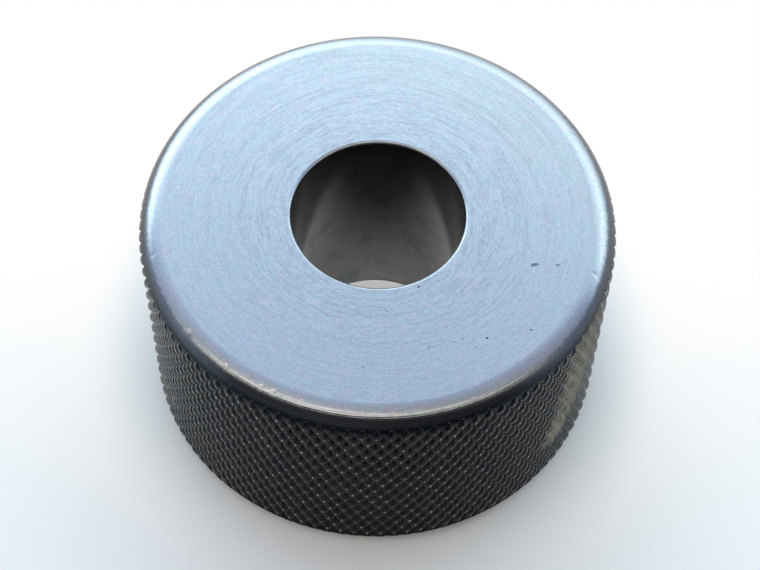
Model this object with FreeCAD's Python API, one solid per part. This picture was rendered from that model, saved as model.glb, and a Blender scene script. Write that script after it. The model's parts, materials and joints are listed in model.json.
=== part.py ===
"""Plain ring gauge: one turned piece of steel with a lapped bore, ground end faces and a diamond-knurled rim.

The ring stands on its lower end face. The origin is the centre of that face, and +Z runs up the bore's axis.
The knurl's diamonds are laid round a bar. At both ends of the rim the rounded edge cuts through them and
leaves a toothed border, as on the real ring. The bar is then turned down to the ring's section.
"""
import FreeCAD, Part
import os
from math import cos, floor, pi, radians, sin, sqrt, tan

# Driving dimensions, in millimetres and degrees
bore_diameter = 12.7        # the size that the gauge checks
outer_diameter = 34.925     # over the crests of the knurl
width = 19.05               # from end face to end face
bore_edge_chamfer = 0.2     # at both mouths of the bore, at 45 degrees
rim_edge_radius = 1.8       # the quarter round between each end face and the rim
smooth_turn = 54.0          # how far that round turns before it comes near the knurl
round_cones = 3             # short cones that stand for the smooth part of the round
knurl_pitch = 1.016         # crest to crest round the rim, 25 to the inch
knurl_depth = 0.22          # from the crests to the bottom of the grooves
knurl_angle = 30.0          # half the angle at which the two families of grooves cross
knurl_lean = 3.85           # how far the whole knurl leans over from the bore's axis
first_column_angle = -0.65  # where the first column crosses the middle of the ring, from +X
crest_clearance = 0.02      # how far the blank's wall stands off the crests
cap_height = 0.1            # how far the bar runs past the end faces

bore_radius = bore_diameter / 2
crest_radius = outer_diameter / 2
groove_radius = crest_radius - knurl_depth
round_centre = crest_radius - rim_edge_radius


def round_section(degrees_turned):
    """(radius, depth below the end face) where the quarter round has turned that far from the face."""
    turn = radians(degrees_turned)
    return round_centre + rim_edge_radius * sin(turn), rim_edge_radius * (1 - cos(turn))


def round_depth(radius):
    """How far below the end face the quarter round reaches a radius."""
    return rim_edge_radius - sqrt(rim_edge_radius ** 2 - (radius - round_centre) ** 2)


# The knurl's lattice: a whole number of diamonds round the rim, centred between the end faces
diamonds_round = round(pi * outer_diameter / knurl_pitch)
columns = 2 * diamonds_round
column_step = 360.0 / columns
row_step = pi * crest_radius / diamonds_round / tan(radians(knurl_angle))
groove_cut_depth = round_depth(groove_radius)
last_row = floor((width / 2 - groove_cut_depth) / row_step - 0.5)
first_row = -last_row - 1
last_row_depth = width / 2 - (last_row + 0.5) * row_step


def is_crest(column, row):
    """Crests and groove crossings take turns, along a row and up a column."""
    return (column + row) % 2 == 0


def ridge_cut_depth():
    """Where the quarter round meets the ridge that runs down from a crest of the last row to a crossing."""
    fall = knurl_depth / row_step
    top = crest_radius + fall * last_row_depth - round_centre
    half = fall * top + rim_edge_radius
    square = 1 + fall ** 2
    return (half - sqrt(half ** 2 - square * top ** 2)) / square


def border_section(column, row):
    """(radius, depth) of the toothed border: near the end face in the grooves, further down on the ridges."""
    if not is_crest(column, row):
        return groove_radius, groove_cut_depth
    depth = ridge_cut_depth()
    return round_centre + sqrt(rim_edge_radius ** 2 - (rim_edge_radius - depth) ** 2), depth


def on_rim(column, above_middle, radius):
    """A point of a column. The knurl's lean turns it further round the axis, the higher it is."""
    lean = above_middle * tan(radians(knurl_lean)) / crest_radius
    angle = radians(first_column_angle + column * column_step) + lean
    return FreeCAD.Vector(radius * cos(angle), radius * sin(angle), width / 2 + above_middle)


def knurl_point(column, row):
    """A crest, a groove crossing or a point of the toothed border. Row 0 is half a step above the middle."""
    if row in (first_row, last_row):
        radius, depth = border_section(column, row)
        side = 1 if row == last_row else -1
        return on_rim(column, side * (width / 2 - depth), radius)
    return on_rim(column, (row + 0.5) * row_step, crest_radius if is_crest(column, row) else groove_radius)


def cap_point(column, row):
    """The end of a line from a groove's end over the end of the smooth round, run on past the end face."""
    groove_end = knurl_point(column, row)
    smooth_radius, smooth_depth = round_section(smooth_turn)
    run = (groove_cut_depth + cap_height) / (groove_cut_depth - smooth_depth)
    share = 1 - run * (groove_radius - smooth_radius) / groove_radius
    height = width + cap_height if row == last_row else -cap_height
    return FreeCAD.Vector(groove_end.x * share, groove_end.y * share, height)


def flat_face(corners):
    """A plane face inside the given corners."""
    return Part.Face(Part.makePolygon([*corners, corners[0]]))


def cell_flanks(column, row):
    """Two flanks between four lattice points. They meet in the groove that joins the two crossings."""
    near, right = knurl_point(column, row), knurl_point(column + 1, row)
    far, above = knurl_point(column + 1, row + 1), knurl_point(column, row + 1)
    if is_crest(column, row):
        return [flat_face([near, right, above]), flat_face([right, far, above])]
    return [flat_face([near, right, far]), flat_face([near, far, above])]


def tooth_and_land(column, row):
    """The cut tooth between one groove's end and the next, and the land between them and the bar's end."""
    left, tooth, right = [knurl_point(column + step, row) for step in range(3)]
    land = [left, right, cap_point(column + 2, row), cap_point(column, row)]
    return [flat_face([left, tooth, right]), flat_face(land)]


def knurled_bar():
    """A bar of knurled stock, a little longer than the ring is wide."""
    faces = []
    for column in range(columns):
        for row in range(first_row, last_row):
            faces += cell_flanks(column, row)
    for row in (first_row, last_row):
        groove_ends = [column for column in range(columns) if not is_crest(column, row)]
        for column in groove_ends:
            faces += tooth_and_land(column, row)
        faces.append(flat_face([cap_point(column, row) for column in groove_ends]))
    skin = Part.makeShell(faces)
    skin.sewShape()
    bar = Part.Solid(skin)
    if bar.Volume < 0:
        bar.reverse()
    return bar


def end_profile():
    """The blank's section at one end: (radius, depth below the end face), from the bore past the crests."""
    points = [(bore_radius, bore_edge_chamfer), (bore_radius + bore_edge_chamfer, 0.0)]
    points += [round_section(smooth_turn * step / round_cones) for step in range(round_cones + 1)]
    # the last cone runs on past the crests, clear of the knurl
    (radius, depth), (last_radius, last_depth) = points[-2:]
    wall = crest_radius + crest_clearance
    run = (wall - last_radius) / (last_radius - radius)
    points[-1] = (wall, last_depth + run * (last_depth - depth))
    return points


def turned_blank():
    """The blank's section turned about the bore's axis."""
    lower = end_profile()
    upper = [(radius, width - depth) for radius, depth in reversed(lower)]
    section = flat_face([FreeCAD.Vector(radius, 0, height) for radius, height in lower + upper])
    return section.revolve(FreeCAD.Vector(0, 0, 0), FreeCAD.Vector(0, 0, 1), 360)


def gauge_ring():
    """The knurled stock, turned down to the blank's section."""
    return knurled_bar().common(turned_blank()).Solids[0]


os.makedirs("parts", exist_ok=True)
ring = gauge_ring()
ring.exportStep("parts/gauge_ring.step")
print("diamonds round the rim", diamonds_round, "row step", round(row_step, 4), "last row", last_row)
print("border from", round(groove_cut_depth, 3), "to", round(ridge_cut_depth(), 3), "below the end faces")
print("ring valid", ring.isValid(), "faces", len(ring.Faces), "volume", round(ring.Volume, 2))
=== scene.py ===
# %% [markdown]
# # Plain ring gauge
#
# The real object is one thick ring of hardened steel. Its lapped bore is slid over a shaft to see whether
# the shaft has the right size. Four finishes meet on it: bright ground end faces, rounded edges that go from
# bright to black, a blackened diamond knurl for the fingers, and the bore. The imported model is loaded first,
# because every size below is read from it or stands beside it.

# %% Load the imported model
import json
import random
from math import atan2, ceil, cos, hypot, pi, radians, sin, sqrt, tan

import bmesh
import bpy
from mathutils import Matrix, Vector


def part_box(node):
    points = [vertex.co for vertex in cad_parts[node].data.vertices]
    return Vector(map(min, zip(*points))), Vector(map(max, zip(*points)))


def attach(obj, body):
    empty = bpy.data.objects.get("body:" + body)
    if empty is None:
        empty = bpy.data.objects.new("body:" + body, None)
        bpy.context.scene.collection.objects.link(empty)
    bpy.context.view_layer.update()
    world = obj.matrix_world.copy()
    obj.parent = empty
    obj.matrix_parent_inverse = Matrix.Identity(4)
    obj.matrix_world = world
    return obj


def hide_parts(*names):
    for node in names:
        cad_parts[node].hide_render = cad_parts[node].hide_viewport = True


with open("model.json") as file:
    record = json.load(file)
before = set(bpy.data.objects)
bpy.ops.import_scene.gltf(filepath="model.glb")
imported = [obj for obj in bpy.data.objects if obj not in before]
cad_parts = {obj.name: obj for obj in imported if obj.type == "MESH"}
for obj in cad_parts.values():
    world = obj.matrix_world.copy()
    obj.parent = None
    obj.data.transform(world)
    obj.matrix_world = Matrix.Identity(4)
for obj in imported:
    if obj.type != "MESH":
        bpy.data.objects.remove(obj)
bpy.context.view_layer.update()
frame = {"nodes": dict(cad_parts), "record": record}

# %% [markdown]
# ## Sizes
#
# The model is in metres, but a ring of 35 mm is easier to read in millimetres. So the ring is drawn in
# millimetres and scaled once, at the end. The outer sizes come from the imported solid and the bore's radius
# from the record. The knurl's own sizes are repeated here, because a solid doesn't say how it was cut.

# %% Read the sizes of the ring
MM = 0.001

solid = frame["nodes"]["gauge_ring"]
lowest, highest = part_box("gauge_ring")
bore_mount = next(m for m in frame["record"]["mounts"] if m["name"] == "gauging_bore")

width = (highest.z - lowest.z) / MM
crest_radius = max(hypot(v.co.x, v.co.y) for v in solid.data.vertices) / MM
bore_radius = bore_mount["dims"]["r_mm"]
bore_edge = (width - bore_mount["dims"]["length_mm"]) / 2
print("width", round(width, 3), "crest radius", round(crest_radius, 4), "bore radius", bore_radius)

# %% Name the sizes of the rounded edge and the knurl
edge_radius = 1.8

diamonds_round = 108
knurl_depth = 0.22
groove_angle = radians(30)
knurl_lean = radians(3.85)
first_column_angle = radians(-0.65)

round_centre = crest_radius - edge_radius
groove_radius = crest_radius - knurl_depth
pitch = 2 * pi * crest_radius / diamonds_round
row_step = pitch / 2 / tan(groove_angle)
rows_each_way = ceil(width / 2 / row_step + 0.5)
print("one diamond is", round(pitch, 3), "mm wide and", round(2 * row_step, 3), "mm high")

# %% [markdown]
# ## The camera
#
# The photograph looks down on the ring from the front, from about 14 cm away. The camera comes early, so
# that every later step can be looked at from the right place. It is built from two turns: a tilt from
# straight down, and a small roll about the line of sight, because the photograph is slightly askew.

# %% Place the camera
camera_distance = 138.7
camera_elevation = radians(57.74)
camera_roll = radians(1.51)
camera_aim = Vector((0.27, -4.40, 16.27))
sensor_width = 36.0
lens_length = 90.61

line_of_sight = Vector((0, cos(camera_elevation), -sin(camera_elevation)))
camera_place = camera_aim - camera_distance * line_of_sight
camera_turn = Matrix.Rotation(pi / 2 - camera_elevation, 4, "X") @ Matrix.Rotation(camera_roll, 4, "Z")

camera = bpy.data.objects.new("camera", bpy.data.cameras.new("camera"))
camera.data.sensor_width = sensor_width
camera.data.lens = lens_length
camera.data.clip_start = 5 * MM
camera.matrix_world = Matrix.Translation(camera_place * MM) @ camera_turn
bpy.context.scene.collection.objects.link(camera)
bpy.context.scene.camera = camera
print("the camera stands at", tuple(round(x, 1) for x in camera_place), "mm")

# %% [markdown]
# ## The rounded edge
#
# Both corners of the rim are a quarter round. Its first half is smooth, and further down it cuts through
# the knurl. A place on it is named by how far the surface has turned there from the flat face: 0 degrees at
# the face and 90 at the rim. Rows every 6 degrees are close enough to look round.

# %% Describe the quarter round
TURN_STEP = 6
SMOOTH_TURN = 48


def round_section(degrees_turned):
    """(radius, depth below the end face) where the round has turned that far from the face."""
    turn = radians(degrees_turned)
    return round_centre + edge_radius * sin(turn), edge_radius * (1 - cos(turn))


def round_depth(radius):
    """How far below the end face the round reaches a radius."""
    return edge_radius - sqrt(edge_radius ** 2 - (radius - round_centre) ** 2)


KNURLED_ROWS = [round_section(turn) for turn in range(SMOOTH_TURN, 90 + TURN_STEP, TURN_STEP)]


def depth_below(height):
    """How far a height is below the nearer end face."""
    return width / 2 - abs(height - width / 2)


def turned_radius(height):
    """The radius that the round leaves at a height, with short cones between the rows."""
    depth = depth_below(height)
    for (inner, higher), (outer, lower) in zip(KNURLED_ROWS, KNURLED_ROWS[1:]):
        if depth <= lower:
            return inner + (outer - inner) * (depth - higher) / (lower - higher)
    return crest_radius


print("the round reaches the grooves", round(round_depth(groove_radius), 3), "mm below the face")

# %% [markdown]
# ## One diamond of the knurl
#
# A knurling wheel presses two families of V grooves into the rim, and a small hill stays between them. The
# grooves could be cut from a cylinder with booleans, but 216 of them would be slow and ragged. Instead one
# diamond is drawn in the flat, as if the rim were unrolled: the arc runs along x, the height along y, and
# the radius is z. Its flanks are rings between the groove and the crest. They rise steeply out of the
# groove and round over towards the crest, because the wheel's teeth are sharp and didn't go deep enough to
# meet at a point.

# %% Draw one diamond in the flat
FLANK_PROFILE = [(0.0, 0.0), (0.30, 0.53), (0.53, 0.81), (0.77, 0.95)]


def add_diamond(bm, x, y):
    """A diamond with its crest at (x, y). A ring is (share of the way to the crest, share of the depth)."""
    corners = [(pitch / 2, 0), (0, row_step), (-pitch / 2, 0), (0, -row_step)]
    rings = []
    for inset, rise in FLANK_PROFILE:
        radius = groove_radius + knurl_depth * rise
        rings.append([bm.verts.new((x + u * (1 - inset), y + v * (1 - inset), radius)) for u, v in corners])
    crest = bm.verts.new((x, y, crest_radius))
    for side in range(4):
        following = (side + 1) % 4
        for lower, upper in zip(rings, rings[1:]):
            bm.faces.new((lower[side], lower[following], upper[following], upper[side]))
        bm.faces.new((rings[-1][side], rings[-1][following], crest))


print("one diamond has", 4 * (2 * len(FLANK_PROFILE) - 1), "triangles")

# %% [markdown]
# ## One strip, cut by the rounded edges
#
# The round runs through the knurl and leaves its border toothed. In the flat, each short cone of the round
# is just a slanting plane. So one strip of diamonds, a single pitch wide, is cut across at every row of the
# round, each slab between two rows is cut along its own slanting plane, and whatever stands above the round
# is pushed down onto it. That gives the true zigzag for the whole rim at the price of one column.

# %% Stack a strip of diamonds and cut both ends
TOUCHING = 1e-4
WELD_STRIP = 1e-3


def cut(bm, faces, place, normal, clear_outer=False):
    """Cuts some of the faces along a plane."""
    edges = {edge for face in faces for edge in face.edges}
    verts = {vert for face in faces for vert in face.verts}
    everything = [*verts, *edges, *faces]
    bmesh.ops.bisect_plane(
        bm, geom=everything, dist=TOUCHING, plane_co=place, plane_no=normal, clear_outer=clear_outer
    )


def slab(bm, side, higher, lower):
    """The strip's faces between two depths at one end. The side is 1 at the top and -1 at the bottom."""
    middles = [(face, face.calc_center_median().y - width / 2) for face in bm.faces]
    return [face for face, above in middles if higher < width / 2 - side * above < lower]


def cut_end(bm, side):
    """Cuts the strip along the rounded edge at one end, and takes off what lies nearer the end face."""
    places = [(width / 2 + side * (width / 2 - depth), radius) for radius, depth in KNURLED_ROWS]
    for height, _ in places:
        cut(bm, bm.faces[:], (0, height, 0), (0, side, 0), clear_outer=height == places[0][0])
    slabs = zip(places, places[1:], KNURLED_ROWS, KNURLED_ROWS[1:])
    for (start, inner), (stop, outer), (_, higher), (_, lower) in slabs:
        faces = slab(bm, side, higher, lower)
        cut(bm, faces, (0, start, inner), (0, inner - outer, stop - start))


def lies_on_round(point):
    """Whether a point of the strip was pushed down onto the rounded edge."""
    near = abs(point.z - turned_radius(point.y)) < 2 * TOUCHING
    return near and depth_below(point.y) < edge_radius - TOUCHING


def knurl_strip():
    """One pitch of the rim in the flat: its points, its faces, and which faces lie on the round."""
    bm = bmesh.new()
    for row in range(-rows_each_way, rows_each_way):
        add_diamond(bm, (row % 2) * pitch / 2, width / 2 + (row + 0.5) * row_step)
    for side in (1, -1):
        cut_end(bm, side)
    for vertex in bm.verts:
        vertex.co.z = min(vertex.co.z, turned_radius(vertex.co.y))
    bmesh.ops.remove_doubles(bm, verts=bm.verts[:], dist=WELD_STRIP)
    bm.verts.index_update()
    points = [v.co.copy() for v in bm.verts]
    on_round = [lies_on_round(point) for point in points]
    faces = [[v.index for v in face.verts] for face in bm.faces]
    bm.free()
    return points, faces, [all(on_round[i] for i in corners) for corners in faces]


strip_points, strip_faces, strip_on_round = knurl_strip()
print("the strip has", len(strip_points), "points and", len(strip_faces), "faces")
print(sum(strip_on_round), "of these faces lie on the round")

# %% [markdown]
# ## Rolling the strip up
#
# The strip is laid round the rim 108 times. The whole knurl leans by a few degrees, which is a shear: the
# higher a point is, the further round it goes. Use has rubbed the tips of the diamonds, some more than
# others, so each crest is clipped at a height of its own. The random numbers have a seed, so that every run
# gives the same ring.

# %% Roll the knurl round the rim
WEAR_USUAL = 0.004
WEAR_DEEP = 0.05
DEEP_SHARE = 0.05
WELD_RIM = 2e-3


def crest_wear(rng):
    """How much has been rubbed off one tip, in millimetres."""
    if rng.random() < DEEP_SHARE:
        return rng.uniform(WEAR_USUAL, WEAR_DEEP)
    return abs(rng.gauss(0, WEAR_USUAL))


def rolled(point):
    """A point of the flat strip, on the ring."""
    lean = (point.y - width / 2) * tan(knurl_lean)
    angle = first_column_angle + (point.x + lean) / crest_radius
    return Vector((point.z * cos(angle), point.z * sin(angle), point.y))


def add_knurl(bm):
    """The whole knurled rim. Returns the faces of the knurl and those of the round between its teeth."""
    rng = random.Random(25)
    on_knurl, on_round = [], []
    for column in range(diamonds_round):
        worn = {row: crest_wear(rng) for row in range(-rows_each_way, rows_each_way)}
        made = []
        for point in strip_points:
            row = round((point.y - width / 2) / row_step - 0.5)
            radius = min(point.z, crest_radius - worn.get(row, 0.0))
            made.append(bm.verts.new(rolled(Vector((point.x + column * pitch, point.y, radius)))))
        for corners, smooth in zip(strip_faces, strip_on_round):
            (on_round if smooth else on_knurl).append(bm.faces.new([made[i] for i in corners]))
    bmesh.ops.remove_doubles(bm, verts=bm.verts[:], dist=WELD_RIM)
    return [face for face in on_knurl if face.is_valid], [face for face in on_round if face.is_valid]


ring_mesh = bmesh.new()
knurl_faces, tooth_faces = add_knurl(ring_mesh)
print("the knurl has", len(knurl_faces), "faces and the round between its teeth", len(tooth_faces))

# %% [markdown]
# ## The turned ends
#
# Inside the teeth everything is turned: the smooth half of the round, the flat face, the broken edge of the
# bore and the bore itself. A Screw modifier could spin a profile, but its circle of points wouldn't meet
# the teeth. So each turned row is a loop of vertices, and a stitch joins two loops with unlike numbers of
# points by always stepping along the loop that lags behind. The broken edge of the bore has one nearly flat
# facet, because that is what shows as a thin bright line.

# %% Helpers for loops that run round the axis
def turn_of(vertex):
    """The angle of a vertex round the axis, from 0 to a full turn."""
    return atan2(vertex.co.y, vertex.co.x) % (2 * pi)


def circle(bm, radius, height, count):
    """A closed loop of vertices round the axis."""
    steps = [2 * pi * (i + 0.5) / count for i in range(count)]
    return [bm.verts.new((radius * cos(a), radius * sin(a), height)) for a in steps]


def stitch(bm, first, second):
    """Triangles between two closed loops, both sorted by angle."""
    turns = [[turn_of(v) for v in loop] for loop in (first, second)]
    for angles in turns:
        angles.append(angles[0] + 2 * pi)
    faces = []
    i = j = 0
    while i < len(first) or j < len(second):
        here, there = first[i % len(first)], second[j % len(second)]
        step_first = j == len(second) or (i < len(first) and turns[0][i + 1] <= turns[1][j + 1])
        if step_first:
            i += 1
            faces.append(bm.faces.new((here, there, first[i % len(first)])))
        else:
            j += 1
            faces.append(bm.faces.new((here, there, second[j % len(second)])))
    return faces


def band(bm, first, second):
    """Quads between two loops with the same number of vertices."""
    count = len(first)
    corners = [(first[i], second[i], second[(i + 1) % count], first[(i + 1) % count]) for i in range(count)]
    return [bm.faces.new(quad) for quad in corners]


print("helpers: circle, stitch and band")

# %% Work out the turned profile of one end
FINE_COUNT = 8 * diamonds_round
BORE_COUNT = 4 * diamonds_round
MOUTH_PROFILE = [
    # share of the broken edge's breadth out from the bore, and share of its depth down from the face
    (1.0, 0.0),
    (0.88, 0.04),
    (0.36, 0.28),
    (0.12, 0.58),
    (0.0, 1.0),
]
SUPPORT = 0.04


def smooth_rows():
    """(radius, depth) from just inside the knurled rows to the flat face."""
    return [round_section(turn) for turn in range(SMOOTH_TURN - TURN_STEP, -1, -TURN_STEP)] + [
        (round_centre - SUPPORT, 0.0)
    ]


def mouth_rows():
    """(radius, depth) from the flat face over the broken edge of the bore to its wall."""
    rows = [(bore_radius + bore_edge * out, bore_edge * down) for out, down in MOUTH_PROFILE]
    return [(rows[0][0] + SUPPORT, 0.0)] + rows


print("the smooth round has", len(smooth_rows()), "rows and the bore's mouth", len(mouth_rows()))

# %% Turn both ends and the bore
def add_end(bm, teeth, height_of):
    """One end, from the teeth to the bore. Returns its edge, its ground face and the innermost loop."""
    smooth = [circle(bm, radius, height_of(depth), FINE_COUNT) for radius, depth in smooth_rows()]
    mouth = [circle(bm, radius, height_of(depth), BORE_COUNT) for radius, depth in mouth_rows()]
    edge = stitch(bm, teeth, smooth[0])
    for outer, inner in zip(smooth, smooth[1:]):
        edge += band(bm, outer, inner)
    ground = stitch(bm, smooth[-1], mouth[0])
    for outer, inner in zip(mouth, mouth[1:]):
        ground += band(bm, outer, inner)
    return edge, ground, mouth[-1]


teeth = [v for v in ring_mesh.verts if v.is_boundary]
teeth.sort(key=turn_of)
top_teeth = [v for v in teeth if v.co.z > width / 2]
bottom_teeth = [v for v in teeth if v.co.z < width / 2]

top = add_end(ring_mesh, top_teeth, lambda depth: width - depth)
bottom = add_end(ring_mesh, bottom_teeth, lambda depth: depth)
bore_wall = band(ring_mesh, top[2], bottom[2])
print("points on the loop at the top", len(top_teeth), "and at the bottom", len(bottom_teeth))

# %% Say which finish each face has
FINISHES = ("ground_face", "rounded_edge", "blackened_knurl", "lapped_bore")

for finish, faces in (
    ("ground_face", top[1] + bottom[1]),
    ("rounded_edge", top[0] + bottom[0] + tooth_faces),
    ("blackened_knurl", knurl_faces),
    ("lapped_bore", bore_wall),
):
    for face in faces:
        face.material_index = FINISHES.index(finish)
    print(finish, len(faces), "faces")

# %% [markdown]
# ## Nicks in the edge
#
# The bright line round the top has a few small nicks where the ring was knocked against other tools. Each
# one is pressed in with a smooth fall-off, longer along the edge than across it. The five that the
# photograph shows are named, and a few small ones, placed by a seeded random draw, keep the other edges
# from looking new.

# %% Press the nicks in
NICKS = [
    # angle round the axis, radius, length, breadth, depth of the nick
    (-141.3, 16.60, 0.75, 0.16, 0.06),
    (-128.0, 16.50, 0.30, 0.16, 0.07),
    (-117.8, 16.45, 0.35, 0.14, 0.05),
    (-114.6, 16.38, 0.30, 0.14, 0.06),
    (-107.4, 16.45, 0.25, 0.14, 0.05),
]
SMALL_NICKS = 22
NICK_RADII = (16.1, 16.7)
NICK_LENGTHS = (0.15, 0.4)
NICK_BREADTH = 0.12
NICK_DEPTHS = (0.015, 0.04)


def all_nicks():
    """The named nicks at the top, and small random ones at both ends."""
    rng = random.Random(7)
    nicks = [(*nick, True) for nick in NICKS]
    for number in range(SMALL_NICKS):
        angle, radius = rng.uniform(-180, 180), rng.uniform(*NICK_RADII)
        length, depth = rng.uniform(*NICK_LENGTHS), rng.uniform(*NICK_DEPTHS)
        nicks.append((angle, radius, length, NICK_BREADTH, depth, number % 2 == 0))
    return nicks


def press(verts, angle, radius, length, breadth, depth, at_top):
    """Pushes the round in, about one place."""
    turn = radians(angle)
    below = round_depth(radius)
    centre = Vector((radius * cos(turn), radius * sin(turn), width - below if at_top else below))
    along = Vector((-sin(turn), cos(turn), 0))
    inward = Vector((-cos(turn), -sin(turn), -1 if at_top else 1)).normalized()
    for vertex in verts:
        offset = vertex.co - centre
        if offset.length > length:
            continue
        run = offset.dot(along)
        rest = (offset - run * along).length
        share = 1 - hypot(run / (length / 2), rest / breadth)
        if share > 0:
            vertex.co += inward * depth * min(1.0, 2 * share)


near_edge = [v for v in ring_mesh.verts if round_centre < v.co.xy.length < groove_radius]
for nick in all_nicks():
    press(near_edge, *nick)
print("pressed", len(all_nicks()), "nicks into", len(near_edge), "vertices")

# %% Finish the mesh and hand it to the frame
SHARP_FROM = radians(30)

bmesh.ops.recalc_face_normals(ring_mesh, faces=ring_mesh.faces[:])
open_edges = [e for e in ring_mesh.edges if not e.is_manifold]
for face in ring_mesh.faces:
    face.smooth = True
for edge in ring_mesh.edges:
    one_finish = len({face.material_index for face in edge.link_faces}) == 1
    rounded = edge.is_manifold and (edge.is_convex or edge.calc_face_angle() < SHARP_FROM)
    edge.smooth = one_finish and rounded

mesh = bpy.data.meshes.new("gauge_ring_finished")
ring_mesh.to_mesh(mesh)
ring_mesh.free()
mesh.transform(Matrix.Scale(MM, 4))

ring = bpy.data.objects.new("gauge_ring_finished", mesh)
bpy.context.scene.collection.objects.link(ring)
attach(ring, "root")
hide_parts("gauge_ring")
triangles = sum(len(p.vertices) - 2 for p in mesh.polygons)
print("the ring has", triangles, "triangles and", len(open_edges), "open edges")

# %% [markdown]
# ## Shader helpers
#
# The materials are node trees. Two small helpers keep them readable: one makes a node and fills its
# sockets, the other gives the places that a turned part needs, which are the distance from the axis and the
# depth below the nearer end face, both in millimetres. They come from object coordinates, so nothing slides
# when the view moves.

# %% Helpers for node trees
def node(tree, kind, sockets=None, **settings):
    """Makes a shader node. A socket value that is itself a socket is linked."""
    made = tree.nodes.new("ShaderNode" + kind)
    for name, value in settings.items():
        setattr(made, name, value)
    for name, value in (sockets or {}).items():
        if isinstance(value, bpy.types.NodeSocket):
            tree.links.new(value, made.inputs[name])
        else:
            made.inputs[name].default_value = value
    return made


def maths(tree, operation, *values, clamp=False):
    """The result of a Math node."""
    return node(tree, "Math", dict(enumerate(values)), operation=operation, use_clamp=clamp).outputs[0]


def millimetres(tree):
    """Object coordinates in millimetres, as a vector."""
    place = node(tree, "TexCoord").outputs["Object"]
    return node(tree, "VectorMath", {0: place, "Scale": 1 / MM}, operation="SCALE").outputs[0]


def distance_from_axis(tree):
    """How far the surface is from the bore's axis, in millimetres."""
    flat = node(tree, "VectorMath", {0: millimetres(tree), 1: (1, 1, 0)}, operation="MULTIPLY").outputs[0]
    return node(tree, "VectorMath", {0: flat}, operation="LENGTH").outputs["Value"]


def depth_below_face(tree):
    """How far the surface is below the nearer end face, in millimetres."""
    height = node(tree, "SeparateXYZ", {0: millimetres(tree)}).outputs["Z"]
    from_middle = maths(tree, "ABSOLUTE", maths(tree, "SUBTRACT", height, width / 2))
    return maths(tree, "SUBTRACT", width / 2, from_middle)


def between(tree, value, start, end, low=0.0, high=1.0):
    """A smooth step of value from start to end."""
    sockets = {"Value": value, "From Min": start, "From Max": end, "To Min": low, "To Max": high}
    return node(tree, "MapRange", sockets, interpolation_type="SMOOTHSTEP").outputs["Result"]


def blend_colours(tree, share, first, second):
    """A mix of two colours, each a socket or four numbers."""
    mix = node(tree, "Mix", data_type="RGBA")
    for name, value in (("Factor_Float", share), ("A_Color", first), ("B_Color", second)):
        socket = next(s for s in mix.inputs if s.identifier == name)
        if isinstance(value, bpy.types.NodeSocket):
            tree.links.new(value, socket)
        else:
            socket.default_value = value
    return next(s for s in mix.outputs if s.identifier == "Result_Color")


def new_group(name, inputs, outputs):
    """An empty node group with named inputs, each with its usual value, and named outputs."""
    tree = bpy.data.node_groups.new(name, "ShaderNodeTree")
    for label, value in inputs.items():
        kind = "NodeSocketFloat" if isinstance(value, (int, float)) else "NodeSocketVector"
        socket = tree.interface.new_socket(name=label, in_out="INPUT", socket_type=kind)
        socket.default_value = value
    for label, kind in outputs.items():
        tree.interface.new_socket(name=label, in_out="OUTPUT", socket_type=kind)
    given = tree.nodes.new("NodeGroupInput").outputs
    result = tree.nodes.new("NodeGroupOutput").inputs
    return tree, given, result


def use_group(tree, group, **sockets):
    """Places a group in a material, with its own values."""
    made = tree.nodes.new("ShaderNodeGroup")
    made.node_tree = group
    for name, value in sockets.items():
        label = name.replace("_", " ")
        if isinstance(value, bpy.types.NodeSocket):
            tree.links.new(value, made.inputs[label])
        else:
            made.inputs[label].default_value = value
    return made.outputs


print("shader helpers are ready")

# %% [markdown]
# ## Effect: turning marks
#
# A tool or a grinding wheel that runs round the axis leaves fine lines that all follow circles. Noise makes
# them, if it changes quickly across the lines and slowly along them. Using the angle itself would leave a
# seam at the back, so the noise reads the direction from the axis instead, which has no seam.

# %% Build the group of turning marks
def turning_marks_group():
    """Across is the place across the lines, Spacing their distance, Runs how many follow each other round."""
    tree, given, result = new_group(
        "turning marks",
        {"Across": 0.0, "Spacing": 0.1, "Runs": 20.0, "Low": 0.35, "High": 0.65},
        {"Height": "NodeSocketFloat", "Streaks": "NodeSocketFloat"},
    )
    flat = node(tree, "VectorMath", {0: millimetres(tree), 1: (1, 1, 0)}, operation="MULTIPLY").outputs[0]
    direction = node(tree, "VectorMath", {0: flat}, operation="NORMALIZE").outputs[0]
    around = maths(tree, "DIVIDE", given["Runs"], 2 * pi)
    spread = node(tree, "VectorMath", {0: direction, "Scale": around}, operation="SCALE").outputs[0]
    parts = node(tree, "SeparateXYZ", {0: spread}).outputs
    across = maths(tree, "DIVIDE", given["Across"], given["Spacing"])
    place = node(tree, "CombineXYZ", {"X": parts["X"], "Y": parts["Y"], "Z": across}).outputs[0]
    sockets = {"Vector": place, "Scale": 1.0, "Detail": 3.0, "Roughness": 0.6}
    noise = node(tree, "TexNoise", sockets).outputs["Fac"]
    tree.links.new(noise, result["Height"])
    tree.links.new(between(tree, noise, given["Low"], given["High"]), result["Streaks"])
    return tree


turning_marks = turning_marks_group()
print("group", turning_marks.name, "with", len(turning_marks.nodes), "nodes")

# %% [markdown]
# ## Effect: patches
#
# Steel that has been handled and oiled is never one colour. Soft patches of noise, a few millimetres across
# or much smaller, drive the tint of the face, the grime in the knurl and the stains in the bore.

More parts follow.
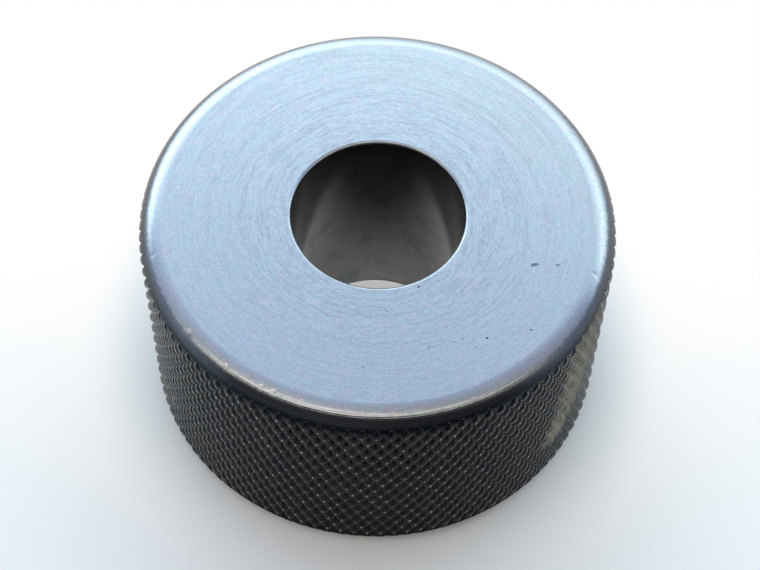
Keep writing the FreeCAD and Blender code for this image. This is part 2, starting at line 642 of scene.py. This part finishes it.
# %% Build the group of patches
def patches_group():
    """Size is how large a patch is in millimetres. Low and High say how much of the noise becomes patch."""
    tree, given, result = new_group(
        "patches",
        {"Size": 3.0, "Detail": 3.0, "Low": 0.4, "High": 0.6},
        {"Mask": "NodeSocketFloat"},
    )
    scale = maths(tree, "DIVIDE", 1.0, given["Size"])
    sockets = {"Vector": millimetres(tree), "Scale": scale, "Detail": given["Detail"], "Roughness": 0.6}
    noise = node(tree, "TexNoise", sockets).outputs["Fac"]
    tree.links.new(between(tree, noise, given["Low"], given["High"]), result["Mask"])
    return tree


patches = patches_group()
print("group", patches.name, "with", len(patches.nodes), "nodes")

# %% [markdown]
# ## Effect: worn blacking
#
# The black finish is thin. It has rubbed off where the ring is touched most: on the upper part of the
# rounded edge, and on the tips of the diamonds. The mask is a step in some level, such as the radius, with
# noise added so that its border is ragged.

# %% Build the group of worn blacking
def worn_blacking_group():
    """Bare steel shows as Level goes from From to To. Ragged moves that border about, at the size Grain."""
    tree, given, result = new_group(
        "worn blacking",
        {"Level": 0.0, "From": 0.0, "To": 1.0, "Ragged": 0.1, "Grain": 0.2},
        {"Mask": "NodeSocketFloat"},
    )
    scale = maths(tree, "DIVIDE", 1.0, given["Grain"])
    sockets = {"Vector": millimetres(tree), "Scale": scale, "Detail": 2.0}
    noise = maths(tree, "SUBTRACT", node(tree, "TexNoise", sockets).outputs["Fac"], 0.5)
    level = maths(tree, "ADD", given["Level"], maths(tree, "MULTIPLY", noise, given["Ragged"]))
    tree.links.new(between(tree, level, given["From"], given["To"]), result["Mask"])
    return tree


worn_blacking = worn_blacking_group()
print("group", worn_blacking.name, "with", len(worn_blacking.nodes), "nodes")

# %% [markdown]
# ## Effect: one mark
#
# Specks, scratches and smears of dirt each lie in one place. One group draws them all, because each is what
# lies near a short straight line: a speck's line has no length, a scratch is long and thin, and a smear is
# broad, with noise in its border.

# %% Build the group that draws one mark
def one_mark_group():
    """White near the line from From to To. Breadth is its half width, and Ragged breaks its border up."""
    tree, given, result = new_group(
        "one mark",
        {"From": (0.0, 0.0, 0.0), "To": (0.0, 0.0, 0.0), "Breadth": 0.1, "Ragged": 0.0, "Grain": 0.3},
        {"Mask": "NodeSocketFloat"},
    )
    place = millimetres(tree)
    offset = node(tree, "VectorMath", {0: place, 1: given["From"]}, operation="SUBTRACT").outputs[0]
    line = node(tree, "VectorMath", {0: given["To"], 1: given["From"]}, operation="SUBTRACT").outputs[0]
    along = node(tree, "VectorMath", {0: offset, 1: line}, operation="DOT_PRODUCT").outputs["Value"]
    square = node(tree, "VectorMath", {0: line, 1: line}, operation="DOT_PRODUCT").outputs["Value"]
    share = maths(tree, "DIVIDE", along, square, clamp=True)
    nearest = node(tree, "VectorMath", {0: line, "Scale": share}, operation="SCALE").outputs[0]
    away = node(tree, "VectorMath", {0: offset, 1: nearest}, operation="DISTANCE").outputs["Value"]
    scale = maths(tree, "DIVIDE", 1.0, given["Grain"])
    noise = node(tree, "TexNoise", {"Vector": place, "Scale": scale, "Detail": 3.0}).outputs["Fac"]
    wander = maths(tree, "MULTIPLY", maths(tree, "SUBTRACT", noise, 0.5), given["Ragged"])
    core = maths(tree, "MULTIPLY", given["Breadth"], 0.4)
    tree.links.new(between(tree, maths(tree, "ADD", away, wander), given["Breadth"], core), result["Mask"])
    return tree


one_mark = one_mark_group()


def all_marks(tree, marks, grain=0.3):
    """One mask of many marks. Each is (from, to, breadth, raggedness, strength)."""
    mask = 0.0
    for start, stop, breadth, ragged, strength in marks:
        drawn = use_group(tree, one_mark, From=start, To=stop, Breadth=breadth, Ragged=ragged, Grain=grain)
        mask = maths(tree, "MAXIMUM", mask, maths(tree, "MULTIPLY", drawn["Mask"], strength))
    return mask


print("group", one_mark.name, "with", len(one_mark.nodes), "nodes")

# %% [markdown]
# ## Effect: ground steel
#
# The end faces and the upper part of the rounded edge are the same bare steel. It is pale grey with fine
# grinding lines round the axis, and a film of oil tints it in small patches between rose and green. Because
# both surfaces take the same group, the face runs into the edge with no seam, and only the light shows
# where it begins to turn.

# %% Build the group of ground steel
STEEL = (0.43, 0.45, 0.49, 1)
STEEL_ROSE = (0.49, 0.43, 0.49, 1)
STEEL_GREEN = (0.38, 0.48, 0.48, 1)
STEEL_SHADE = (0.26, 0.28, 0.33, 1)
TINT_SHARE = 0.8
GRAIN_SHARE = 0.26
STEEL_ROUGHNESS = (0.27, 0.33)


def ground_steel_group():
    """Across is the place across the grinding lines, and Lines how strongly they show."""
    tree, given, result = new_group(
        "ground steel",
        {"Across": 0.0, "Lines": 0.2},
        {"Colour": "NodeSocketColor", "Roughness": "NodeSocketFloat", "Height": "NodeSocketFloat"},
    )
    across = given["Across"]
    fine = use_group(tree, turning_marks, Across=across, Spacing=0.10, Runs=70.0, Low=0.42, High=0.60)
    broad = use_group(tree, turning_marks, Across=across, Spacing=0.24, Runs=16.0, Low=0.44, High=0.64)
    rose = use_group(tree, patches, Size=0.9, Detail=4.0, Low=0.50, High=0.68)["Mask"]
    green = use_group(tree, patches, Size=0.6, Detail=4.0, Low=0.52, High=0.70)["Mask"]
    grain = use_group(tree, patches, Size=0.20, Detail=2.0, Low=0.40, High=0.60)["Mask"]
    colour = blend_colours(tree, maths(tree, "MULTIPLY", rose, TINT_SHARE), STEEL, STEEL_ROSE)
    colour = blend_colours(tree, maths(tree, "MULTIPLY", green, TINT_SHARE), colour, STEEL_GREEN)
    streaks = maths(tree, "ADD", fine["Streaks"], broad["Streaks"])
    lines = maths(tree, "MULTIPLY", streaks, given["Lines"])
    shade = maths(tree, "ADD", lines, maths(tree, "MULTIPLY", grain, GRAIN_SHARE))
    colour = blend_colours(tree, shade, colour, STEEL_SHADE)
    tree.links.new(colour, result["Colour"])
    tree.links.new(between(tree, broad["Height"], 0.3, 0.7, *STEEL_ROUGHNESS), result["Roughness"])
    tree.links.new(maths(tree, "ADD", fine["Height"], broad["Height"]), result["Height"])
    return tree


ground_steel = ground_steel_group()
print("group", ground_steel.name, "with", len(ground_steel.nodes), "nodes")

# %% Start a material
def new_material(name):
    """A material with only a Principled BSDF, its tree and that shader."""
    material = bpy.data.materials.new(name)
    material.use_nodes = True
    tree = material.node_tree
    shader = tree.nodes["Principled BSDF"]
    return material, tree, shader


def add_bump(tree, shader, height, distance):
    """Bends the shader's normal by a height. The distance is in millimetres."""
    bump = node(tree, "Bump", {"Height": height, "Distance": distance * MM, "Strength": 1.0})
    tree.links.new(bump.outputs["Normal"], shader.inputs["Normal"])


print("the ring takes", len(FINISHES), "materials")

# %% [markdown]
# ## Ground end faces
#
# Both ends are ground flat. The grinding lines show most near the bore, where the wheel ran slowest. Specks
# of rust and dirt, two dark smudges and a few scratches lie on the upper face, and each is put where the
# photograph shows it.

# %% Make the material of the ground faces
SPECK_COLOUR = (0.05, 0.045, 0.05, 1)
SPECKS = [
    # x, y and radius of each speck on the upper face
    (3.01, -6.23, 0.11),
    (7.82, -10.28, 0.12),
    (6.08, -10.41, 0.07),
    (5.52, -10.67, 0.07),
    (3.79, -11.13, 0.07),
    (6.98, -11.03, 0.06),
    (10.90, -9.53, 0.10),
    (0.81, -8.33, 0.06),
    (-2.26, -6.64, 0.06),
    (-0.75, -12.87, 0.06),
    (-0.14, -12.61, 0.05),
    (15.32, -3.30, 0.07),
]
SMUDGES = [
    # x and y of each end, breadth, raggedness and strength
    (11.1, -4.13, 11.5, -4.07, 0.15, 0.25, 0.7),
    (12.9, -4.08, 13.05, -4.04, 0.13, 0.20, 0.6),
    (8.38, -2.15, 9.31, -2.90, 0.04, 0.03, 0.25),
    (10.5, -1.10, 10.55, -3.30, 0.04, 0.05, 0.12),
]
# between these two distances from the axis the grinding lines grow stronger, from one share to the other
LINES_REACH = (15.0, bore_radius + 0.8)
LINES_SHARE = (0.16, 0.32)
FACE_BUMP = 0.0028


def face_marks():
    """The specks, smudges and scratches, in the form that all_marks takes."""
    specks = [((x, y, width), (x, y, width), radius, 0.0, 1.0) for x, y, radius in SPECKS]
    smudges = [((x, y, width), (u, v, width), *rest) for x, y, u, v, *rest in SMUDGES]
    return specks + smudges


def ground_face():
    """The material of both end faces."""
    material, tree, shader = new_material("ground_face")
    radius = distance_from_axis(tree)
    lines = between(tree, radius, *LINES_REACH, *LINES_SHARE)
    steel = use_group(tree, ground_steel, Across=radius, Lines=lines)
    dark = all_marks(tree, face_marks())
    tree.links.new(blend_colours(tree, dark, steel["Colour"], SPECK_COLOUR), shader.inputs["Base Color"])
    shader.inputs["Metallic"].default_value = 1.0
    tree.links.new(steel["Roughness"], shader.inputs["Roughness"])
    add_bump(tree, shader, steel["Height"], FACE_BUMP)
    return material


ring.data.materials.append(ground_face())
print("ground face with", len(SPECKS), "specks and", len(SMUDGES), "smudges and scratches")

# %% [markdown]
# ## Rounded edges
#
# The edge was blackened with the rest, and then the face was ground and its corner polished with a strip of
# emery. So the steel is bare where the edge begins to turn, and black further down, most of all between the
# teeth. The tool that turned it left a fine thread of lines, whose ridges are rubbed bright. The distance
# along the section is close to radius plus depth, so the lines follow that. Every step is given by its
# depth below the end face, in millimetres.

# %% Make the material of the rounded edges
BLACKED_STEEL = (0.078, 0.087, 0.102, 1)
BLACKED_DEEP = (0.020, 0.024, 0.031, 1)
TOOL_FEED = 0.21
BARE_DEPTHS = (0.48, 0.20)
DEEP_BLACK_DEPTHS = (0.40, 0.85)
LINE_DEPTHS = (0.08, 0.25)
LINE_FADE_DEPTHS = (1.1, 0.7)
LINE_STRENGTH = 0.8
RIDGE_RUBBED = 0.40
BETWEEN_RIDGES = 0.30
POLISH_DEPTH = 0.16
EDGE_ROUGHNESS = (0.30, 0.20)
EDGE_BUMP = 0.004


def rounded_edge():
    """The material of the rounded edges, smooth and between the teeth."""
    material, tree, shader = new_material("rounded_edge")
    depth = depth_below_face(tree)
    across = maths(tree, "ADD", distance_from_axis(tree), depth)
    steel = use_group(tree, ground_steel, Across=across, Lines=0.08)
    first, last = BARE_DEPTHS
    bare = use_group(tree, worn_blacking, Level=depth, From=first, To=last, Ragged=0.18, Grain=0.35)["Mask"]
    turn = maths(tree, "MULTIPLY", across, 2 * pi / TOOL_FEED)
    ripple = maths(tree, "MULTIPLY_ADD", maths(tree, "SINE", turn), 0.5, 0.5)
    lined = between(tree, depth, *LINE_DEPTHS, 0.0, LINE_STRENGTH)
    rubbed = maths(tree, "MULTIPLY", maths(tree, "MULTIPLY", ripple, lined), RIDGE_RUBBED)
    dimmed = maths(tree, "MULTIPLY", maths(tree, "SUBTRACT", lined, rubbed), BETWEEN_RIDGES)
    kept = maths(tree, "SUBTRACT", 1.0, dimmed)
    black = blend_colours(tree, between(tree, depth, *DEEP_BLACK_DEPTHS), BLACKED_STEEL, BLACKED_DEEP)
    shown = maths(tree, "MAXIMUM", maths(tree, "MULTIPLY", bare, kept), rubbed)
    shown = maths(tree, "MULTIPLY", shown, between(tree, depth, *LINE_FADE_DEPTHS))
    colour = blend_colours(tree, shown, black, steel["Colour"])
    tree.links.new(colour, shader.inputs["Base Color"])
    shader.inputs["Metallic"].default_value = 1.0
    roughness = between(tree, depth, 0.0, POLISH_DEPTH, *EDGE_ROUGHNESS)
    tree.links.new(roughness, shader.inputs["Roughness"])
    height = maths(tree, "MULTIPLY_ADD", ripple, lined, steel["Height"])
    add_bump(tree, shader, height, EDGE_BUMP)
    return material


ring.data.materials.append(rounded_edge())
print("rounded edge, with tool lines every", TOOL_FEED, "mm")

# %% [markdown]
# ## Blackened knurl
#
# The knurl is almost black and slightly glossy, so it is dark where it is looked at squarely and slate grey
# where it turns away at the sides. The very tips of the diamonds are rubbed to bright steel. Old residue
# has dried in a broad, broken smear down the right side: it is thickest in the grooves. A little more of it
# lies on the left side, and there is one small spot of red rust.

# %% Make the material of the blackened knurl
BLACKING = (0.004, 0.005, 0.007, 1)
TIP_STEEL = (0.42, 0.44, 0.48, 1)
RESIDUE = (0.32, 0.29, 0.235, 1)
RED_RUST = (0.25, 0.03, 0.02, 1)
SMEAR = [
    # angle and height of each end, breadth, raggedness and strength
    (-28.5, 17.7, -32.5, 16.0, 1.8, 1.6, 0.8),
    (-28.5, 15.5, -28.5, 12.8, 3.2, 2.0, 0.9),
    (-30.5, 13.0, -32.4, 9.25, 2.8, 2.0, 1.0),
    (-33.6, 9.5, -37.5, 6.2, 2.0, 1.4, 1.0),
    (-23.5, 18.0, -22.0, 13.0, 1.2, 1.4, 0.5),
    (-20.5, 14.0, -21.5, 11.0, 0.5, 0.8, 0.35),
    (-164.4, 3.6, -164.4, 5.0, 0.7, 0.8, 0.6),
    (-156.5, 4.6, -156.5, 5.8, 0.8, 0.8, 0.7),
    (-151.6, 4.9, -151.6, 5.6, 0.7, 0.8, 0.5),
]
RUST_SPOT = (-106.2, 14.4, -105.9, 14.3, 0.26, 0.15, 0.8)
BRIGHT_TIPS = (crest_radius - 0.011, crest_radius - 0.002)
DUST_SHARE = 0.05
SMEAR_ON_CRESTS = 0.7
SMEAR_THINNEST = 0.5
KNURL_ROUGHNESS = (0.22, 0.70)
BLACKING_GLOSS = 0.09


def on_rim(angle, height):
    """A point of the rim, at an angle in degrees and a height in millimetres."""
    return (crest_radius * cos(radians(angle)), crest_radius * sin(radians(angle)), height)


def rim_marks(rows):
    """Marks given by angle and height, in the form that all_marks takes."""
    return [(on_rim(a, h), on_rim(b, k), *rest) for a, h, b, k, *rest in rows]


def blackened_knurl():
    """The material of the knurl's flanks and crests."""
    material, tree, shader = new_material("blackened_knurl")
    radius = distance_from_axis(tree)
    first, last = BRIGHT_TIPS
    tips = use_group(tree, worn_blacking, Level=radius, From=first, To=last, Ragged=0.01, Grain=0.6)["Mask"]
    dust = use_group(tree, patches, Size=1.4, Detail=3.0, Low=0.50, High=0.72)["Mask"]
    broken = use_group(tree, patches, Size=0.7, Detail=2.0, Low=0.34, High=0.58)["Mask"]
    broken = between(tree, broken, 0.0, 1.0, SMEAR_THINNEST, 1.0)
    smear = maths(tree, "MULTIPLY", all_marks(tree, rim_marks(SMEAR), grain=0.8), broken)
    low = between(tree, radius, crest_radius - 0.03, crest_radius - 0.12, SMEAR_ON_CRESTS, 1.0)
    colour = blend_colours(tree, tips, BLACKING, TIP_STEEL)
    colour = blend_colours(tree, maths(tree, "MULTIPLY", dust, DUST_SHARE), colour, RESIDUE)
    colour = blend_colours(tree, maths(tree, "MULTIPLY", smear, low), colour, RESIDUE)
    colour = blend_colours(tree, all_marks(tree, rim_marks([RUST_SPOT])), colour, RED_RUST)
    tree.links.new(colour, shader.inputs["Base Color"])
    clean = maths(tree, "SUBTRACT", 1.0, smear, clamp=True)
    tree.links.new(maths(tree, "MULTIPLY", tips, clean), shader.inputs["Metallic"])
    tree.links.new(between(tree, smear, 0.0, 1.0, *KNURL_ROUGHNESS), shader.inputs["Roughness"])
    shader.inputs["Specular IOR Level"].default_value = BLACKING_GLOSS
    return material


ring.data.materials.append(blackened_knurl())
print("blackened knurl with", len(SMEAR), "strokes of residue")

# %% [markdown]
# ## Lapped bore
#
# Lapping makes the bore the smoothest surface of the ring. Its wall mirrors the disc of floor that shows
# through the bore. That disc carries a painted glow, dim at the front and brighter at the back, so the wall
# is dark at the top and grey lower down. Faint marks run round it, with a few stains of old oil.

# %% Make the material of the lapped bore
LAPPED_STEEL = (0.215, 0.205, 0.20, 1)
OIL_STAIN = (0.09, 0.125, 0.135, 1)
STAIN_SHARE = 0.55
BORE_ROUGHNESS = (0.16, 0.22)
BORE_BUMP = 0.0006


def lapped_bore():
    """The material of the bore's wall."""
    material, tree, shader = new_material("lapped_bore")
    depth = depth_below_face(tree)
    marks = use_group(tree, turning_marks, Across=depth, Spacing=0.12, Runs=12.0)
    stains = use_group(tree, patches, Size=2.2, Low=0.46, High=0.68)["Mask"]
    colour = blend_colours(tree, maths(tree, "MULTIPLY", stains, STAIN_SHARE), LAPPED_STEEL, OIL_STAIN)
    tree.links.new(colour, shader.inputs["Base Color"])
    shader.inputs["Metallic"].default_value = 1.0
    tree.links.new(between(tree, marks["Height"], 0.3, 0.7, *BORE_ROUGHNESS), shader.inputs["Roughness"])
    add_bump(tree, shader, marks["Height"], BORE_BUMP)
    return material


ring.data.materials.append(lapped_bore())
print("materials:", [m.name for m in ring.data.materials])

# %% [markdown]
# ## Floor
#
# The ring stands on a white sheet. Behind the ring it is so bright that it fades into the background, and
# towards the front it turns a little grey and cool. More light would do that too, but it would also burn
# out the steel. So the sheet's far part glows, only for rays that come from the camera or by way of a
# mirror-like surface. In front it ends just outside the picture, because the front of the ring mirrors
# something dark there. Inside the bore the sheet has a weak glow of its own, which grows from the front to
# the back: painted light that stands in for the light falling in through the bore.

# %% Lay the floor
FLOOR_REACH = 0.8
FLOOR_FRONT = 0.045
SHEET_WHITE = (0.93, 0.93, 0.93, 1)
FLOOR_GAP = 0.02

floor_mesh = bpy.data.meshes.new("floor")
floor_corners = [
    (-FLOOR_REACH, -FLOOR_FRONT, 0),
    (FLOOR_REACH, -FLOOR_FRONT, 0),
    (FLOOR_REACH, FLOOR_REACH, 0),
    (-FLOOR_REACH, FLOOR_REACH, 0),
]
floor_mesh.from_pydata(floor_corners, [], [(0, 1, 2, 3)])
floor = bpy.data.objects.new("floor", floor_mesh)
floor.location.z = -FLOOR_GAP * MM
bpy.context.scene.collection.objects.link(floor)
floor_material, floor_tree, floor_shader = new_material("floor_paper")
floor_shader.inputs["Base Color"].default_value = SHEET_WHITE
floor_shader.inputs["Roughness"].default_value = 0.8
floor_shader.inputs["Specular IOR Level"].default_value = 0.1
print("the floor reaches", FLOOR_REACH, "m back and", FLOOR_FRONT, "m to the front")

# %% Let the far part of the floor glow
# how far behind the axis the glow begins and where it is full
BACK_GLOW = (-25.0, 12.0)
# how far from the axis the ring's shade ends, and from where the camera sees all of the floor glow
OBJECT_SHADE = (17.5, 24.0)
FAR_GLOW = (35.0, 44.0)
# painted light: the floor inside the bore glows in place of the light that falls in through it
# the glow inside the bore: its share, how far behind the axis it rises, and its strength before and after
BORE_SHARE = 0.9
BORE_RISE = (-3.0, 8.0)
BORE_STRENGTH = (0.03, 0.57)


def glow_share(tree):
    """How much of the floor's own glow is seen: more towards the back, and none close round the ring."""
    radius = distance_from_axis(tree)
    back = between(tree, node(tree, "SeparateXYZ", {0: millimetres(tree)}).outputs["Y"], *BACK_GLOW)
    back = maths(tree, "MULTIPLY", back, between(tree, radius, *OBJECT_SHADE))
    # the floor inside the bore glows too: painted light, seen by the camera and mirrored in the bore's wall
    painted_bore_glow = maths(tree, "MULTIPLY", maths(tree, "LESS_THAN", radius, bore_radius), BORE_SHARE)
    rays = node(tree, "LightPath").outputs
    mirrored = maths(tree, "MAXIMUM", rays["Is Glossy Ray"], rays["Is Transmission Ray"])
    seen = maths(tree, "MAXIMUM", rays["Is Camera Ray"], mirrored)
    far = maths(tree, "MULTIPLY", between(tree, radius, *FAR_GLOW), rays["Is Camera Ray"])
    return maths(tree, "MAXIMUM", maths(tree, "MULTIPLY", maths(tree, "MAXIMUM", back, painted_bore_glow), seen), far)


def glow_strength(tree):
    """The glow's strength: full outside, and in the bore's disc a painted light, dim at the front and brighter
    behind.
    """
    outside = maths(tree, "GREATER_THAN", distance_from_axis(tree), bore_radius)
    back = node(tree, "SeparateXYZ", {0: millimetres(tree)}).outputs["Y"]
    return maths(tree, "MAXIMUM", outside, between(tree, back, *BORE_RISE, *BORE_STRENGTH))


glow = node(floor_tree, "Emission", {"Color": (1, 1, 1, 1), "Strength": glow_strength(floor_tree)})
sheet_and_glow = node(
    floor_tree, "MixShader", {0: glow_share(floor_tree), 1: floor_shader.outputs[0], 2: glow.outputs[0]}
)
floor_tree.links.new(sheet_and_glow.outputs[0], floor_tree.nodes["Material Output"].inputs["Surface"])
floor_mesh.materials.append(floor_material)
print("the floor glows from", BACK_GLOW[0], "to", BACK_GLOW[1], "mm behind the middle")

# %% [markdown]
# ## Light
#
# A metal ring shows what lies round it more than it shows the light that falls on it. Here the flat top
# mirrors a bright cool zone low behind the ring, the rounded edge mirrors a warm strip overhead as a thin
# line, and the front mirrors something dark. One sky holds all of that. It is a ramp of colours over an
# arch from the back horizon, over the top, to the front horizon, with a cool grey at both sides. The arch
# leans a little to one side and is weaker on the right, as the ring's edge shows. Large areas like these
# also give the soft shadow, so no lamp is needed. Only the camera sees plain white instead.

# %% Set the sky
SKY_STRENGTH = 2.4
SKY_ARCH = [
    # degrees up from the back horizon, and the light that comes from there
    (0, (0.58, 0.68, 0.74)),
    (20, (0.84, 1.00, 1.08)),
    (34, (1.10, 1.32, 1.34)),
    (47, (1.18, 1.42, 1.44)),
    (56, (0.33, 0.48, 0.68)),
    (64, (0.28, 0.335, 0.465)),
    (80, (0.31, 0.34, 0.41)),
    (97, (0.31, 0.33, 0.36)),
    (107, (0.36, 0.36, 0.37)),
    (112, (1.00, 0.93, 0.81)),
    (118, (1.00, 0.93, 0.81)),
    (126, (0.14, 0.13, 0.12)),
    (140, (0.035, 0.035, 0.035)),
    (152, (0.05, 0.05, 0.055)),
    (180, (0.10, 0.105, 0.115)),
]
ARCH_LEAN = radians(11)
SIDE_COLOUR = (0.34, 0.40, 0.48, 1)
SIDE_FROM = 0.78
RIGHT_RANGE = (-0.15, 0.12)
RIGHT_SHARE = 0.77

world = bpy.data.worlds.new("sky")
bpy.context.scene.world = world
world.use_nodes = True
sky = world.node_tree
sky.nodes.clear()
looking = node(sky, "SeparateXYZ", {0: node(sky, "TexCoord").outputs["Generated"]}).outputs
over = maths(sky, "ABSOLUTE", maths(sky, "ARCTAN2", looking["Z"], looking["Y"]))
leaning = maths(sky, "SUBTRACT", over, maths(sky, "MULTIPLY", looking["X"], ARCH_LEAN))
arch = node(sky, "ValToRGB", {"Fac": maths(sky, "DIVIDE", leaning, pi, clamp=True)})
stops = arch.color_ramp.elements
while len(stops) < len(SKY_ARCH):
    stops.new(0.5)
for stop, (degrees_up, colour) in zip(stops, SKY_ARCH):
    stop.position = degrees_up / 180
    stop.color = (*colour, 1)
side = between(sky, maths(sky, "ABSOLUTE", looking["X"]), SIDE_FROM, 1.0)
sky_colour = blend_colours(sky, side, arch.outputs["Color"], SIDE_COLOUR)
strength = between(sky, looking["X"], *RIGHT_RANGE, SKY_STRENGTH, SKY_STRENGTH * RIGHT_SHARE)
lit = node(sky, "Background", {"Color": sky_colour, "Strength": strength})
seen = node(sky, "Background", {"Color": (1, 1, 1, 1), "Strength": 1.0})
camera_ray = node(sky, "LightPath").outputs["Is Camera Ray"]
mixed_sky = node(sky, "MixShader", {0: camera_ray, 1: lit.outputs[0], 2: seen.outputs[0]})
node(sky, "OutputWorld", {"Surface": mixed_sky.outputs[0]})
print("the sky has", len(SKY_ARCH), "stops")

# %% Set the view
bpy.context.scene.view_settings.view_transform = "Standard"
